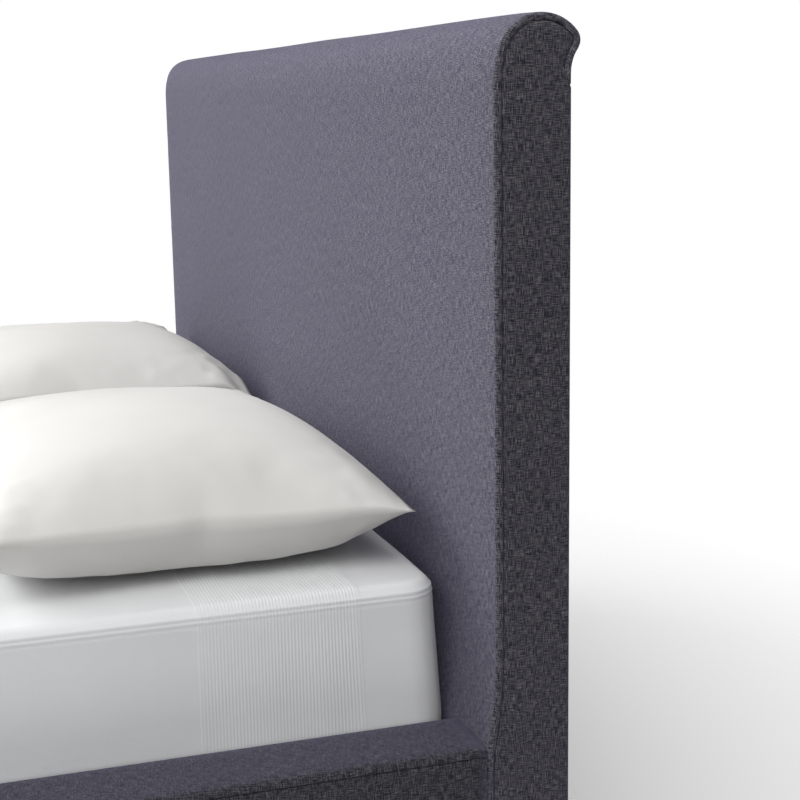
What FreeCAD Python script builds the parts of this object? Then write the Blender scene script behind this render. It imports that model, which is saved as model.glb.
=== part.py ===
import FreeCAD, Part
import math
import os

from FreeCAD import Vector

# Queen-size upholstered sleigh bed, in millimetres.
# X runs across the bed, +Y towards the head, +Z up. The origin is on the floor, under the middle of the bed.

# ---- driving dimensions ----
mattress_width = 1530.0
mattress_length = 2030.0
mattress_height = 259.0
bed_width = 1720.0
rail_top = 340.0            # top of the upholstered side rails
foot_height = 60.0          # gap from the floor to the underside of the rails and boards
headboard_rise = 702.0      # top of the headboard above the rail top
footboard_rise = 210.0
end_gap = 30.0              # from the mattress end to the side seam of each end board

# ---- side view of an end board: y from the side seam, positive outwards ----
seam_inset = 7.0            # the seam runs this far inside the padded edge
board_back = 70.0           # flat back
shoulder_drop = 67.0        # where the front starts to roll back, below the top
shoulder_radius = 120.0
shoulder_angle = math.radians(17)
crown_angle = math.radians(50)
lip_radius = 14.0           # the tight turn at the back of the roll
lip_angle = math.radians(35)
flare_radius = 560.0        # the sweep at the foot of the front face
flare_height = 100.0
flare_end_radius = 120.0
hem = 18.0                  # how far the cloth is turned under at the bottom edge

# ---- thicknesses ----
cloth = 1.5
edge_round = 4.0
front_foam = 15.0
roll_foam = 10.5
panel = 9.0
ply = 18.0
side_pad = 3.5              # side panel: cloth over thin wadding
crossbar_depth = 40.0
crossbar_height = 80.0

# ---- rails and base ----
rail_width = 91.0
rail_foam = 10.5
slat_thickness = 18.0
slat_width = 95.0
slat_count = 12
slat_top = 227.0
slat_end_clearance = 4.5
ledger_width = 30.0
ledger_height = 40.0
beam_width = 36.0
beam_height = 60.0
steel = 3.0
rest_gap = 0.3              # loose pieces rest this far above what carries them
fitting_gap = 1.0           # beam end to steel hanger

# ---- fixings and feet ----
bolt_radius = 4.0
bolt_head_radius = 6.8
bolt_head_height = 5.0
long_bolt = 62.0
short_bolt = 26.0
bracket_leg = 60.0
bracket_low = 92.0
bracket_high = 162.0
bracket_bolt_heights = (110.0, 144.0)
bracket_bolt_across = 38.0  # from the rail board to a bolt into the end board
bracket_bolt_along = 36.0   # from the end board to a bolt into the rail board
hanger_depth = 44.0
hanger_tab = 28.0
hanger_tab_height = 40.0
leg_width = 48.0
leg_low = 22.0
leg_y = 450.0
glide_stem = 5.0
glide_fit = 0.1             # the stem's clearance in the leg, on the radius
glide_length = 62.0
foot_width = 54.0
foot_tip = 44.0
foot_waist = 25.0

# ---- bedding ----
sheet = 1.0
sheet_turned_in = 80.0
mattress_edge = 14.0
mattress_corner = 34.0
pillow_length = 690.0
pillow_depth = 455.0
pillow_height = 148.0
pillow_gap = 0.5            # to the sheet
pillow_places = {"pillow_right": (381.0, 769.0, 1.0), "pillow_left": (-386.0, 770.0, 2.0)}  # x, y, turn
pillow_levels = ((0.0, 0.42), (0.06, 0.66), (0.18, 0.86), (0.40, 1.0),
                 (0.62, 0.94), (0.82, 0.76), (0.95, 0.52), (1.0, 0.30))  # share of the height, share of the plan

far = 2000.0                # beyond every piece

half_width = bed_width / 2
bottom = foot_height
seam_y = mattress_length / 2 + end_gap
rail_outer = half_width
rail_inner = half_width - rail_width
board_inner = rail_inner + cloth                 # inner face of the rail's structural board
slat_under = slat_top - slat_thickness
ledger_top = slat_under
ledger_inner = board_inner - ledger_width
front_y = -seam_inset
flare_depth = flare_radius - math.sqrt(flare_radius ** 2 - flare_height ** 2)
flare_angle = math.asin(flare_height / flare_radius)
lower_front = front_y - flare_depth - flare_end_radius * (1 - math.cos(flare_angle))
board_front = seam_y + lower_front               # where the rails meet the end boards


def box(x0, x1, y0, y1, z0, z1):
    return Part.makeBox(x1 - x0, y1 - y0, z1 - z0, Vector(x0, y0, z0))


def rod(radius, start, direction, length):
    return Part.makeCylinder(radius, length, Vector(*start), Vector(*direction))


def rounded(shape, radius, chosen):
    """The shape with the edges that pass a test on their bounding box filleted."""
    return shape.makeFillet(radius, [e for e in shape.Edges if chosen(e.BoundBox)])


def line(a, b):
    return Part.LineSegment(Vector(0, *a), Vector(0, *b)).toShape()


def arc(centre, radius, start, end):
    """An arc in the side view, from one angle to another, in radians from +Y towards +Z."""
    middle = (start + end) / 2
    ends = [Vector(0, centre[0] + radius * math.cos(a), centre[1] + radius * math.sin(a))
            for a in (start, middle, end)]
    return Part.Arc(*ends).toShape()


def board_outline(rise):
    """The padded side outline of an end board as a face in the YZ plane, y from the side seam."""
    top = rail_top + rise
    shoulder = top - shoulder_drop
    quarter = math.pi / 2
    flare_top = (front_y, rail_top + flare_height)
    low_z = rail_top - flare_end_radius * math.sin(flare_angle)
    low_centre = (lower_front + flare_end_radius, low_z)
    flare_centre = (front_y - flare_radius, rail_top + flare_height)
    shoulder_centre = (front_y + shoulder_radius, shoulder)
    turn = (shoulder_centre[0] - shoulder_radius * math.cos(shoulder_angle),
            shoulder + shoulder_radius * math.sin(shoulder_angle))
    crown_radius = (top - turn[1]) / (1 - math.sin(shoulder_angle))
    crown_centre = (turn[0] + crown_radius * math.cos(shoulder_angle),
                    turn[1] - crown_radius * math.sin(shoulder_angle))
    reach = crown_radius - lip_radius
    lip_centre = (crown_centre[0] + reach * math.sin(crown_angle),
                  crown_centre[1] + reach * math.cos(crown_angle))
    lip_end = (lip_centre[0] + lip_radius * math.cos(lip_angle),
               lip_centre[1] - lip_radius * math.sin(lip_angle))
    tuck_radius = (lip_end[0] - board_back) / (1 - math.cos(lip_angle))
    tuck_centre = (board_back + tuck_radius, lip_end[1] - tuck_radius * math.sin(lip_angle))
    edges = [
        line((lower_front, bottom), (lower_front, low_z)),
        arc(low_centre, flare_end_radius, math.pi, math.pi - flare_angle),
        arc(flare_centre, flare_radius, -flare_angle, 0),
        line(flare_top, (front_y, shoulder)),
        arc(shoulder_centre, shoulder_radius, math.pi, math.pi - shoulder_angle),
        arc(crown_centre, crown_radius, math.pi - shoulder_angle, quarter - crown_angle),
        arc(lip_centre, lip_radius, quarter - crown_angle, -lip_angle),
        arc(tuck_centre, tuck_radius, math.pi - lip_angle, math.pi),
        line((board_back, tuck_centre[1]), (board_back, bottom)),
        line((board_back, bottom), (lower_front, bottom)),
    ]
    return Part.Face(Part.Wire(Part.__sortEdges__(edges))), tuck_centre[1]


def inset(face, distance):
    """The outline moved inwards."""
    smaller = face.makeOffset2D(-distance)
    assert smaller.Area < face.Area
    return smaller


def prism(face, x0, x1):
    """A side outline pulled out across the bed and moved to the head end."""
    moved = face.copy()
    moved.translate(Vector(x0, seam_y, 0))
    return moved.extrude(Vector(x1 - x0, 0, 0))


def end_board(rise, bar_bottoms):
    """The pieces of one end board at the head end: frame, foam, covers and lining."""
    outline, tuck_z = board_outline(rise)
    side = half_width - side_pad
    former_in = side - ply
    shoulder = rail_top + rise - shoulder_drop
    tuck = tuck_z - 10

    under_cloth = inset(outline, cloth)
    seam_line = inset(outline, seam_inset)
    foam_line = inset(outline, cloth + roll_foam)
    front_of_core = front_y + cloth + front_foam
    back_of_core = board_back - cloth

    # the side panel runs out to the flat back and down to the bottom edge
    low_front = lower_front + seam_inset

    def slab(x0, x1, y0, y1, z0, z1):
        return box(x0, x1, seam_y + y0, seam_y + y1, z0, z1)

    def side_shape(x0, x1):
        panel_face = prism(seam_line, x0, x1)
        back_strip = slab(x0, x1, board_back / 2, board_back - 1, bottom + cloth, tuck_z)
        bottom_strip = slab(x0, x1, low_front, board_back - 1, bottom + cloth, bottom + hem)
        return panel_face.fuse([back_strip, bottom_strip]).removeSplitter()

    left = side_shape(-half_width, -side)
    right = side_shape(side, half_width)

    core = prism(foam_line, -side, side).common(
        slab(-side, side, front_of_core, back_of_core, bottom, rail_top + rise))
    core = core.fuse(
        slab(-side, side, front_of_core, back_of_core, bottom + cloth, tuck)).removeSplitter()

    front_panel = slab(-side, side, front_of_core, front_of_core + panel, bottom + 10, shoulder)
    bar_front = front_of_core + panel
    bars = [slab(-former_in, former_in, bar_front, bar_front + crossbar_depth, z, z + crossbar_height)
            for z in bar_bottoms]
    formers = [core.common(slab(x0, x0 + ply, -far, far, 0, far)).cut(front_panel)
               for x0 in (-side, former_in)]

    skin = prism(outline, -half_width, half_width)
    ends = [e for e in skin.Edges
            if abs(abs(e.BoundBox.XMin) - half_width) < 1e-3
            and e.BoundBox.XLength < 1e-3
            and not (e.BoundBox.YLength < 1e-3
                     and abs(e.BoundBox.YMin - seam_y - board_back) < 1e-3)
            and e.BoundBox.ZMax > bottom + 1]
    skin = skin.makeFillet(edge_round, ends)
    inside = prism(under_cloth, -half_width + cloth, half_width - cloth)
    open_back = slab(-bed_width, bed_width, back_of_core - 1, far, 0, tuck)
    open_bottom = slab(-bed_width, bed_width, lower_front + hem, far, bottom - 1, bottom + cloth)
    side_openings = [prism(seam_line, x0, x1) for x0, x1 in
                     ((-bed_width, -side), (side, bed_width))]
    cover = skin.cut([inside, open_back, open_bottom, left, right] + side_openings)
    foam = inside.cut([core, left, right, open_back])
    lining = slab(-side, side, back_of_core, board_back, bottom + cloth, tuck)
    cover = max(cover.Solids, key=lambda s: s.Volume)
    foam = max(foam.Solids, key=lambda s: s.Volume)
    return {
        "cover": cover,
        "side_panel_left": left,
        "side_panel_right": right,
        "back_lining": lining,
        "foam": foam,
        "front_panel": front_panel,
        "formers": Part.makeCompound(formers),
        "crossbars": Part.makeCompound(bars),
    }


def to_foot(shape):
    return shape.mirror(Vector(0, 0, 0), Vector(0, 1, 0))


def to_left(shape):
    return shape.mirror(Vector(0, 0, 0), Vector(1, 0, 0))


def side_rail():
    """The pieces of the right side rail: a hollow board box, foam, and a two-part cloth cover."""
    y0, y1 = -board_front, board_front
    seam_z = rail_top - seam_inset
    foam_out = rail_outer - cloth
    board_out = foam_out - rail_foam
    foam_top = rail_top - cloth
    board_top = foam_top - rail_foam
    base = bottom + cloth
    turned_in = 60.0
    turned_under = 30.0
    inner_board = box(board_inner, board_inner + ply, y0, y1, base, board_top)
    top_board = box(board_inner + ply, board_out, y0, y1, board_top - ply, board_top)
    outer_board = box(board_out - ply, board_out, y0, y1, base, board_top - ply)
    foam = box(board_inner, foam_out, y0, y1, base, foam_top).cut(
        [box(board_inner, board_out, y0, y1, 0, board_top)])
    outside = box(rail_inner, rail_outer, y0, y1, bottom, rail_top)
    top_edge = [e for e in outside.Edges
                if e.BoundBox.XMin > rail_outer - 1e-3 and e.BoundBox.ZMin > rail_top - 1e-3]
    outside = outside.makeFillet(edge_round, top_edge)
    shell = outside.cut(box(board_inner, foam_out, y0, y1, 0, foam_top))
    top_cover = shell.common(box(0, bed_width, y0, y1, seam_z, rail_top)).fuse(
        box(rail_inner, board_inner, y0, y1, rail_top - turned_in, seam_z)).removeSplitter()
    side_cover = box(foam_out, rail_outer, y0, y1, bottom, seam_z).fuse(
        box(rail_outer - turned_under, foam_out, y0, y1, bottom, base)).removeSplitter()
    ledger = rounded(
        box(ledger_inner, board_inner, y0 + 5, y1 - 5, ledger_top - ledger_height, ledger_top),
        2.0, lambda b: b.YLength > 10 and b.XMax < ledger_inner + 1)
    return {
        "inner_board": inner_board,
        "outer_board": outer_board,
        "top_board": top_board,
        "foam": foam,
        "top_cover": top_cover,
        "side_cover": side_cover,
        "slat_ledger": ledger,
    }


def rail_bracket():
    """A steel angle at the head end of the right rail: one leg on the rail board, one on the end board."""
    low, high = bracket_low, bracket_high
    along = box(board_inner - steel, board_inner, board_front - bracket_leg, board_front, low, high)
    across = box(board_inner - bracket_leg, board_inner - steel, board_front - steel, board_front,
                 low, high)
    return along.fuse(across).removeSplitter()


def bolt(start, direction, length):
    """A round-headed bolt: the head stands on the bracket, the shank goes along the direction."""
    back = [s - d * bolt_head_height for s, d in zip(start, direction)]
    return rod(bolt_head_radius, back, direction, bolt_head_height).fuse(
        rod(bolt_radius, start, direction, length)).removeSplitter()


def rail_bolts():
    """Two long bolts into the end board and two short ones into the rail board, for one bracket."""
    return [b for z in bracket_bolt_heights for b in (
        bolt((board_inner - bracket_bolt_across, board_front - steel, z), (0, 1, 0), long_bolt),
        bolt((board_inner - steel, board_front - bracket_bolt_along, z), (1, 0, 0), short_bolt))]


def beam_hanger():
    """A steel cradle on the head-end board that carries one end of the centre beam."""
    half = beam_width / 2
    top, low = slat_under - 2, slat_under - beam_height - steel
    y0 = board_front - hanger_depth
    floor_plate = box(-half - steel, half + steel, y0, board_front, low, low + steel)
    cheeks = [box(x, x + steel, y0, board_front, low, top) for x in (-half - steel, half)]
    tabs = [box(x, x + hanger_tab, board_front - steel, board_front, low, low + hanger_tab_height)
            for x in (-half - steel - hanger_tab, half + steel)]
    return floor_plate.fuse(cheeks + tabs).removeSplitter()


def hanger_bolts():
    x = beam_width / 2 + steel + hanger_tab / 2 + 1
    z = slat_under - beam_height + hanger_tab_height * 0.4
    return [bolt((side * x, board_front - steel, z), (0, 1, 0), long_bolt) for side in (-1, 1)]


def support_leg(y):
    """A square post under the beam, bored from below for the stem of its levelling glide."""
    half = leg_width / 2
    post = box(-half, half, y - half, y + half, leg_low, slat_under - beam_height)
    post = rounded(post, 2.5, lambda b: b.ZLength > 10)
    return post.cut(rod(glide_stem + glide_fit, (0, y, leg_low), (0, 0, 1), glide_length))


def levelling_glide(y):
    """A plastic-footed screw glide: a chamfered disc on the floor and a stem up inside the leg."""
    disc = Part.makeCylinder(19, 5, Vector(0, y, 0))
    cone = Part.makeCone(19, 13, 3, Vector(0, y, 5))
    stem = rod(glide_stem, (0, y, 8), (0, 0, 1), glide_length)
    return disc.fuse([cone, stem]).removeSplitter()


def block_foot(x, y):
    """A square block foot with a tapered lower part, under the end of an end board."""
    half, slim = foot_width / 2, foot_tip / 2
    top = bottom + cloth
    upper = box(x - half, x + half, y - half, y + half, foot_waist, top)
    lower = Part.makeLoft([
        Part.makePolygon([Vector(x + sx * r, y + sy * r, z)
                          for sx, sy in ((-1, -1), (1, -1), (1, 1), (-1, 1), (-1, -1))])
        for r, z in ((slim, 0), (half, foot_waist))], True, True)
    return rounded(upper.fuse(lower).removeSplitter(), 3.0, lambda b: b.ZLength > 10)


def countersunk_screw(x, y):
    head, shank = 4.5, 2.25
    cone = Part.makeCone(head, shank, 3.0, Vector(x, y, slat_top), Vector(0, 0, -1))
    return cone.fuse(rod(shank, (x, y, slat_top - 3), (0, 0, -1), 37.0)).removeSplitter()


def mattress_and_sheet():
    """A plain mattress block and a fitted sheet round it, open below inside its turned-under edge."""
    low = slat_top + rest_gap

    def block(grow):
        x, y = mattress_width / 2 - sheet + grow, mattress_length / 2 - sheet + grow
        shape = box(-x, x, -y, y, low + sheet - grow, low + sheet + mattress_height + grow)
        upright = [e for e in shape.Edges if e.BoundBox.ZLength > 10]
        shape = shape.makeFillet(mattress_corner + grow, upright)
        return shape.makeFillet(mattress_edge + grow, [e for e in shape.Edges if e.BoundBox.ZLength < 1e-3])

    mattress = block(0)
    reach_x, reach_y = mattress_width / 2 - sheet_turned_in, mattress_length / 2 - sheet_turned_in
    cut_out = box(-reach_x, reach_x, -reach_y, reach_y, low - 1, low + sheet)
    return mattress, block(sheet).cut([mattress, cut_out])


def pillow(centre_x, centre_y, turn):
    """A plump pillow as a lofted solid lying on the sheet."""
    low = slat_top + rest_gap + mattress_height + 2 * sheet + pillow_gap
    wires = []
    for up, plan in pillow_levels:
        half_x, half_y = pillow_length / 2 * plan, pillow_depth / 2 * plan
        flat = box(-half_x, half_x, -half_y, half_y, 0, 1)
        corners = [e for e in flat.Edges if e.BoundBox.ZLength > 0.5]
        rounded = flat.makeFillet(half_y * 0.35, corners)
        outline = [f for f in rounded.Faces if f.BoundBox.ZMax < 1e-3][0].OuterWire
        outline.translate(Vector(0, 0, low + pillow_height * up))
        wires.append(outline)
    shape = Part.makeLoft(wires, True, True)
    shape.rotate(Vector(0, 0, 0), Vector(0, 0, 1), turn)
    shape.translate(Vector(centre_x, centre_y, 0))
    return shape


def build():
    nodes = {}

    for name, shape in end_board(headboard_rise, (88.0, 560.0, 860.0)).items():
        nodes["headboard_" + name] = shape
    for name, shape in end_board(footboard_rise, (88.0, 340.0)).items():
        nodes["footboard_" + name] = to_foot(shape)

    for name, shape in side_rail().items():
        nodes[name + "_right"] = shape
        nodes[name + "_left"] = to_left(shape)

    bracket, hanger = rail_bracket(), beam_hanger()
    head_bolts = rail_bolts()
    head_bolts = head_bolts + [to_left(b) for b in head_bolts] + hanger_bolts()
    bolts = head_bolts + [to_foot(b) for b in head_bolts]
    pair = [bracket, to_left(bracket)]
    nodes["rail_brackets"] = Part.makeCompound(pair + [to_foot(b) for b in pair])
    nodes["beam_hangers"] = Part.makeCompound([hanger, to_foot(hanger)])
    nodes["frame_bolts"] = Part.makeCompound(bolts)

    beam_end = board_front - steel - fitting_gap
    nodes["centre_beam"] = box(-beam_width / 2, beam_width / 2, -beam_end, beam_end,
                               slat_under - beam_height, slat_under)
    for number, y in enumerate((leg_y, -leg_y), 1):
        nodes["support_leg_%d" % number] = support_leg(y)
        nodes["levelling_glide_%d" % number] = levelling_glide(y)

    foot_x, foot_y = half_width - 62, seam_y + 31
    nodes["foot_head_right"] = block_foot(foot_x, foot_y)
    nodes["foot_head_left"] = block_foot(-foot_x, foot_y)
    nodes["foot_end_right"] = block_foot(foot_x, -foot_y)
    nodes["foot_end_left"] = block_foot(-foot_x, -foot_y)

    slat_half = rail_inner - slat_end_clearance
    pitch = (mattress_length - 40) / slat_count
    screw_x = (ledger_inner + slat_half) / 2
    screws = []
    for number in range(slat_count):
        y = (number - (slat_count - 1) / 2) * pitch
        pair = [countersunk_screw(side * screw_x, y) for side in (-1, 1)]
        screws += pair
        slat = box(-slat_half, slat_half, y - slat_width / 2, y + slat_width / 2, slat_under, slat_top)
        nodes["slat_%02d" % (number + 1)] = rounded(slat, 2.5, lambda b: b.XLength > 10).cut(pair)
    nodes["slat_screws"] = Part.makeCompound(screws)
    for name in ("slat_ledger_left", "slat_ledger_right"):
        nodes[name] = nodes[name].cut(screws)

    # every bolt gets its own hole in what it passes through
    for name in ("rail_brackets", "beam_hangers", "headboard_cover", "headboard_foam",
                 "headboard_front_panel", "headboard_crossbars", "footboard_cover", "footboard_foam",
                 "footboard_front_panel", "footboard_crossbars", "inner_board_right",
                 "inner_board_left"):
        whole = nodes[name]
        drilled = [s.cut([b for b in bolts if b.BoundBox.intersect(s.BoundBox)]) for s in whole.Solids]
        nodes[name] = Part.makeCompound([s for d in drilled for s in d.Solids])

    nodes["mattress"], nodes["fitted_sheet"] = mattress_and_sheet()
    for name, (x, y, turn) in pillow_places.items():
        nodes[name] = pillow(x, y, turn)
    return nodes


os.makedirs("parts", exist_ok=True)
for node_name, node_shape in build().items():
    solids = node_shape.Solids
    assert solids and all(s.isValid() and s.Volume > 0 for s in solids), node_name
    node_shape.exportStep("parts/" + node_name + ".step")
    print(node_name, len(solids), round(node_shape.Volume / 1e6, 3), "litres")
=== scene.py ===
import math

import bmesh
import bpy
from mathutils import Matrix, Vector, noise


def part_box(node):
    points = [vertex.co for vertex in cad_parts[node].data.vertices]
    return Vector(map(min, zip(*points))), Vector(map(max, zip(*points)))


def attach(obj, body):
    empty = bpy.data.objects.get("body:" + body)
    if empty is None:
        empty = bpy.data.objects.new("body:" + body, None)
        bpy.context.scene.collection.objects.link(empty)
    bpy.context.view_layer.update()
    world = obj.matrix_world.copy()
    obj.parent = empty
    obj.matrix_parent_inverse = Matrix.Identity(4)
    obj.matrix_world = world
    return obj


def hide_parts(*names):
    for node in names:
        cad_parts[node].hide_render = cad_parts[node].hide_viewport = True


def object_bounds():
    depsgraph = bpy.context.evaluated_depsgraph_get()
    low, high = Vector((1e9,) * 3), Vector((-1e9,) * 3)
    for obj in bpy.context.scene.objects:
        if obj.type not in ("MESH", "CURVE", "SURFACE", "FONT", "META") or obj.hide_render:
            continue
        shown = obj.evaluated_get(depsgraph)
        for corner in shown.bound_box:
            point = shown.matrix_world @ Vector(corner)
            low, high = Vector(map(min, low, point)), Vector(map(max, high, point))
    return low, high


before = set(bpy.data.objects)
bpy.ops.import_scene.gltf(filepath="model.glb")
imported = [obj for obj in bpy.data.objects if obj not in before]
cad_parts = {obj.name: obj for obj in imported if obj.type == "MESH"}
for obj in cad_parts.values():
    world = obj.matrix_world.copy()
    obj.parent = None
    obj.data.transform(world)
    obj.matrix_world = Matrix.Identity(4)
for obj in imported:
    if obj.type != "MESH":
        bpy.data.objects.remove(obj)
cadLow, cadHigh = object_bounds()
scene = bpy.context.scene


def low(node):
    return Vector(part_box(node)[0])


def high(node):
    return Vector(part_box(node)[1])


halfWidth = high("headboard_cover").x
boardBottom = low("headboard_cover").z
boardFront = low("headboard_cover").y    # where the front of the headboard meets the rails
boardBack = high("headboard_back_lining").y
railTop = high("top_cover_right").z
railInner = low("top_cover_right").x
sheetLow, sheetHigh = low("fitted_sheet"), high("fitted_sheet")


class Field:  # a value that changes over a surface, for sums on shader sockets
    def __init__(self, finish, socket):
        self.finish, self.socket = finish, socket

    def __add__(self, other):
        return self.finish.maths("ADD", self, other)

    def __radd__(self, other):
        return self.finish.maths("ADD", other, self)

    def __sub__(self, other):
        return self.finish.maths("SUBTRACT", self, other)

    def __rsub__(self, other):
        return self.finish.maths("SUBTRACT", other, self)

    def __mul__(self, other):
        return self.finish.maths("MULTIPLY", self, other)

    def __rmul__(self, other):
        return self.finish.maths("MULTIPLY", other, self)


class Finish:  # one material, built node by node
    def __init__(self, name, **surface):
        self.material = bpy.data.materials.new(name)
        self.material.use_nodes = True
        self.tree = self.material.node_tree
        self.tree.nodes.clear()
        self.output = self.tree.nodes.new("ShaderNodeOutputMaterial")
        self.shader = self.tree.nodes.new("ShaderNodeBsdfPrincipled")
        self.tree.links.new(self.shader.outputs[0], self.output.inputs[0])
        self.put(self.shader, surface)

    def put(self, node, values):
        for key, value in values.items():
            if isinstance(key, int):
                socket = node.inputs[key]
            else:
                name = key.replace("_", " ")
                socket = next(s for s in node.inputs if s.name == name and s.enabled)
            if isinstance(value, Field):
                self.tree.links.new(value.socket, socket)
            elif socket.type == "RGBA" and len(value) == 3:
                socket.default_value = (*value, 1)
            else:
                socket.default_value = value

    def make(self, kind, settings=None, values=None, output=0):
        node = self.tree.nodes.new("ShaderNode" + kind)
        for key, value in (settings or {}).items():
            if key == "stops":
                for stop, (place, shade) in zip(node.color_ramp.elements, value):
                    stop.position, stop.color = place, (shade, shade, shade, 1)
            else:
                setattr(node, key, value)
        self.put(node, values or {})
        if kind == "Mix":
            return Field(self, next(s for s in node.outputs if s.enabled))
        return Field(self, node.outputs[output])

    def maths(self, operation, a, b=0.0):
        return self.make("Math", {"operation": operation}, {0: a, 1: b})

    def place(self, uv=None):
        if uv:
            return self.make("UVMap", {"uv_map": uv})
        return self.make("TexCoord", output="Object")

    def stretched(self, vector, size):  # size is one pattern cell, in metres
        return self.make("Mapping", None, {"Vector": vector, "Scale": tuple(1 / s for s in size)})

    def cloud(self, vector, detail=3.0, rough=0.5, distort=0.0):
        values = {"Vector": vector, "Detail": detail, "Roughness": rough, "Distortion": distort}
        values["Scale"] = 1.0
        return self.make("TexNoise", None, values)

    def cells(self, vector, size):
        return self.make("TexVoronoi", None, {"Vector": self.stretched(vector, (size,) * 3), "Scale": 1.0})

    def ramp(self, value, stops):
        return self.make("ValToRGB", {"stops": stops}, {0: value})

    def blend(self, factor, a, b):
        return self.make("Mix", {"data_type": "RGBA"}, {"Factor": factor, "A": a, "B": b})

    def axis(self, vector, name):
        return self.make("SeparateXYZ", None, {0: vector}, name)

    def finishWith(self, colour, rough, bumps=()):  # bumps are (height, strength, distance)
        self.put(self.shader, {"Base Color": colour, "Roughness": rough})
        normal = None
        for height, strength, distance in bumps:
            values = {"Height": height, "Strength": strength, "Distance": distance}
            if normal:
                values["Normal"] = normal
            normal = self.make("Bump", None, values)
        if normal:
            self.put(self.shader, {"Normal": normal})
        return self.material


heatherCloth = {
    "dark": (0.0110, 0.0100, 0.0175), "mid": (0.047, 0.0450, 0.056), "light": (0.150, 0.143, 0.158),
    "slubLength": 0.0092, "slubWidth": 0.00052, "fineLength": 0.007, "fineWidth": 0.0009, "yarn": 0.0011,
    "slubs": 2.1, "fine": 1.0, "patches": 0.10, "patchSize": (0.10, 0.14, 1), "sheen": 0.36,
    "darkToMid": [(0.10, 0), (0.52, 1)], "midToLight": [(0.50, 0), (0.98, 1)],
}


def heather(name, lift, contrast):  # lift makes it paler, contrast sets its threads apart
    c = heatherCloth
    dark, mid, light = (tuple(k * lift for k in c[shade]) for shade in ("dark", "mid", "light"))
    f = Finish(name, Sheen_Weight=c["sheen"], Sheen_Roughness=0.42, Sheen_Tint=(0.62, 0.60, 0.92),
               Specular_IOR_Level=0.15)
    uv = f.place("cloth")
    weft = f.cloud(f.stretched(uv, (c["slubLength"], c["slubWidth"], 1)), 1.0, 0.5)
    warp = f.cloud(f.stretched(uv, (c["slubWidth"], c["slubLength"] * 1.2, 1)), 1.0, 0.5)
    fineWeft = f.cloud(f.stretched(uv, (c["fineLength"], c["fineWidth"], 1)), 1.0)
    fineWarp = f.cloud(f.stretched(uv, (c["fineWidth"], c["fineLength"], 1)), 1.0)
    patches = f.cloud(f.stretched(uv, c["patchSize"]), 3.0, 0.6)
    across = f.maths("SINE", f.axis(uv, "X") * (math.tau / 2 / c["yarn"]))
    along = f.maths("SINE", f.axis(uv, "Y") * (math.tau / 2 / c["yarn"]))
    tone = (weft + warp - 1) * (c["slubs"] * contrast) + (fineWeft + fineWarp - 1) * (c["fine"] * contrast)
    tone = tone + (patches - 0.5) * c["patches"] + 0.5
    colour = f.blend(f.ramp(tone, c["darkToMid"]), dark, mid)
    colour = f.blend(f.ramp(tone, c["midToLight"]), colour, light)
    return f.finishWith(colour, 0.84 + tone * 0.1, [(tone, 0.5, 0.0003), (across * along, 0.3, 0.0002)])


cottonCloth = {
    "soft": (0.16, 0.22, 0.18), "crumple": (0.028, 0.034, 0.03), "yarn": (0.0012, 0.0012, 0.0012),
}


def cotton(name, colour, shade):
    f = Finish(name, Sheen_Weight=0.12, Sheen_Roughness=0.4, Specular_IOR_Level=0.25)
    place = f.place()
    soft = f.cloud(f.stretched(place, cottonCloth["soft"]), 3.0, 0.55)
    crumple = f.cloud(f.stretched(place, cottonCloth["crumple"]), 3.0, 0.55, 0.4)
    yarn = f.cloud(f.stretched(place, cottonCloth["yarn"]), 1.0, 0.5)
    tone = f.ramp(soft * 0.7 + yarn * 0.3, [(0.3, 0), (0.7, 1)])
    bumps = [(crumple, 0.25, 0.0018), (yarn, 0.25, 0.0002)]
    return f.finishWith(f.blend(tone, shade, colour), 0.86 + tone * 0.08, bumps)


tickingStripe = {
    "pitch": 0.024, "ground": (0.66, 0.645, 0.60), "stripe": (0.33, 0.35, 0.40), "yarn": (0.5, 0.48, 0.44),
}


def tickingCloth(name):
    t = tickingStripe
    f = Finish(name, Sheen_Weight=0.1, Specular_IOR_Level=0.3)
    place = f.place()
    stripe = f.maths("SINE", f.axis(place, "Y") * (math.tau / t["pitch"]))
    thin = f.ramp(stripe, [(0.86, 0), (0.93, 1)])
    yarn = f.cloud(f.stretched(place, (0.0015, 0.0009, 0.0015)), 1.0)
    soft = f.cloud(f.stretched(place, (0.11, 0.09, 0.1)), 3.0)
    colour = f.blend(thin, t["ground"], t["stripe"])
    colour = f.blend(yarn * 0.4, colour, t["yarn"])
    return f.finishWith(colour, 0.8 + soft * 0.12, [(soft, 0.4, 0.004), (yarn, 0.4, 0.0003)])


woodGrain = {
    "length": 0.28, "ringLength": 0.9, "rings": 46, "poreLength": 0.035, "poreWidth": 0.0009,
    "plyPitch": 0.0030,
}


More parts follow.
